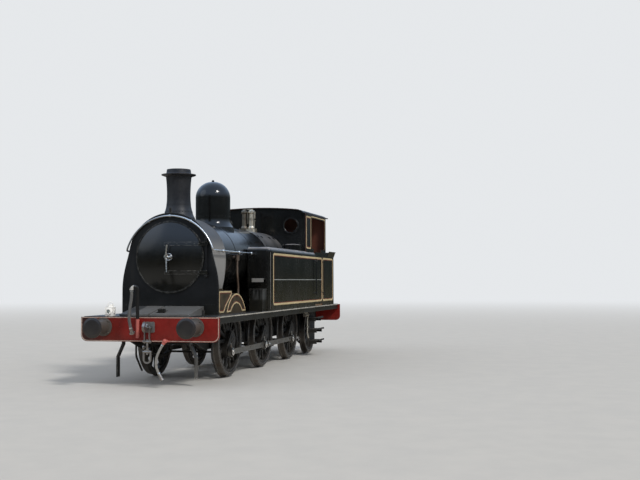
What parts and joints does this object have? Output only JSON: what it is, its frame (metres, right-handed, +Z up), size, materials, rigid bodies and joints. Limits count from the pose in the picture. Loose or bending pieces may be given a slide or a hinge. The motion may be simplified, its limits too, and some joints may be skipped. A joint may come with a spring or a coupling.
{
  "type": "steam tank locomotive",
  "caption": "Side-tank steam locomotive with coupled and trailing wheels, coupling rods, tall chimney, dome, enclosed cab and bunker.",
  "frame": {"origin": "centre of the footprint at the lowest points of the wheel flanges", "axes": "+Z up, -Y towards the smokebox front, +X towards the left-hand side as seen from the cab looking forward"},
  "size_m": [2.62, 10.744, 4.0035],
  "materials": {
    "black_gloss": "gloss",
    "black_matt": "satin",
    "beam_red": "gloss",
    "buffer_metal": "satin",
    "wheel_paint": "satin",
    "tyre_steel": "worn",
    "bright_steel": "polished",
    "polished_brass": "polished",
    "casing_grey": "satin",
    "lamp_white": "satin",
    "hose_rubber": "matt",
    "coupling_iron": "satin",
    "floor_wood": "worn",
    "window_glass": "clear",
    "cab_fittings": "satin"
  },
  "bodies": {
    "engine": {"ashpan": "black_matt", "axle_springs": "black_matt", "axleboxes": "black_matt", "boiler_barrel": "black_gloss", "brake_gear": "black_matt", "buffer_beams": "beam_red", "buffers": "buffer_metal", "bunker": "black_gloss", "cab_back": "black_gloss", "cab_controls": "cab_fittings", "cab_floor": "floor_wood", "cab_front": "black_gloss", "cab_roof": "black_matt", "cab_sides": "black_gloss", "cab_steps": "black_matt", "chimney": "black_matt", "cylinder_block": "black_matt", "dome": "black_gloss", "drawgear": "black_matt", "feed_pipes": "black_gloss", "firebox": "black_gloss", "footplate": "black_gloss", "front_casing": "casing_grey", "front_handrail": "bright_steel", "guard_irons": "black_matt", "handrails": "bright_steel", "headlamp": "lamp_white", "heating_hose": "hose_rubber", "hose_couplings": "coupling_iron", "injectors": "black_matt", "inside_motion": "bright_steel", "main_frame": "black_matt", "safety_valves": "polished_brass", "sand_pipes": "black_matt", "sandboxes": "black_gloss", "side_tanks": "black_gloss", "smokebox": "black_matt", "smokebox_front": "black_matt", "splashers": "black_gloss", "toolboxes": "black_gloss", "train_pipes": "black_matt", "vacuum_hose": "hose_rubber", "whistle": "polished_brass", "window_glass": "window_glass"},
    "driving_wheelset": {"driving_wheelset": "wheel_paint", "driving_tyres": "tyre_steel"},
    "leading_wheelset": {"leading_wheelset": "wheel_paint", "leading_tyres": "tyre_steel"},
    "rear_coupled_wheelset": {"rear_coupled_wheelset": "wheel_paint", "rear_coupled_tyres": "tyre_steel"},
    "trailing_wheelset": {"trailing_wheelset": "wheel_paint", "trailing_tyres": "tyre_steel"},
    "left_coupling_rod": {"left_coupling_rod": "bright_steel"},
    "right_coupling_rod": {"right_coupling_rod": "bright_steel"},
    "smokebox_door": {"smokebox_door": "black_gloss", "door_handles": "bright_steel"},
    "left_cab_door": {"left_cab_door": "black_gloss"},
    "right_cab_door": {"right_cab_door": "black_gloss"},
    "left_tank_lid": {"left_tank_lid": "black_gloss"},
    "right_tank_lid": {"right_tank_lid": "black_gloss"}
  },
  "joints": [
    {"name": "driving_wheels_turn", "type": "hinge", "parent": "engine", "child": "driving_wheelset", "pos_m": [0, -0.675, 0.7205], "axis": [1, 0, 0], "continuous": true},
    {"name": "leading_wheels_turn", "type": "hinge", "parent": "engine", "child": "leading_wheelset", "pos_m": [0, -2.885, 0.7205], "axis": [1, 0, 0], "continuous": true},
    {"name": "rear_coupled_wheels_turn", "type": "hinge", "parent": "engine", "child": "rear_coupled_wheelset", "pos_m": [0, 1.535, 0.7205], "axis": [1, 0, 0], "continuous": true},
    {"name": "trailing_wheels_turn", "type": "hinge", "parent": "engine", "child": "trailing_wheelset", "pos_m": [0, 3.44, 0.5935], "axis": [1, 0, 0], "continuous": true},
    {"name": "left_rod_pivot", "type": "hinge", "parent": "driving_wheelset", "child": "left_coupling_rod", "pos_m": [0.915, -0.92779, 0.50838], "axis": [1, 0, 0], "continuous": true},
    {"name": "right_rod_pivot", "type": "hinge", "parent": "driving_wheelset", "child": "right_coupling_rod", "pos_m": [-0.915, -0.46288, 0.46771], "axis": [1, 0, 0], "continuous": true},
    {"name": "smokebox_door_hinge", "type": "hinge", "parent": "engine", "child": "smokebox_door", "pos_m": [0.728, -4.004, 2.3185], "axis": [0, 0, 1], "range_deg": [0, 120]},
    {"name": "left_cab_door_hinge", "type": "hinge", "parent": "engine", "child": "left_cab_door", "pos_m": [1.211, 3.089, 1.9285], "axis": [0, 0, -1], "range_deg": [0, 90]},
    {"name": "right_cab_door_hinge", "type": "hinge", "parent": "engine", "child": "right_cab_door", "pos_m": [-1.211, 3.089, 1.9285], "axis": [0, 0, 1], "range_deg": [0, 90]},
    {"name": "left_tank_lid_hinge", "type": "hinge", "parent": "engine", "child": "left_tank_lid", "pos_m": [0.742, 1.185, 2.7125], "axis": [0, -1, 0], "range_deg": [0, 100]},
    {"name": "right_tank_lid_hinge", "type": "hinge", "parent": "engine", "child": "right_tank_lid", "pos_m": [-0.742, 1.185, 2.7125], "axis": [0, 1, 0], "range_deg": [0, 100]}
  ],
  "couplings": [
    {"joint": "leading_wheels_turn", "follows": "driving_wheels_turn", "ratio": 1},
    {"joint": "rear_coupled_wheels_turn", "follows": "driving_wheels_turn", "ratio": 1},
    {"joint": "left_rod_pivot", "follows": "driving_wheels_turn", "ratio": -1},
    {"joint": "right_rod_pivot", "follows": "driving_wheels_turn", "ratio": -1}
  ]
}
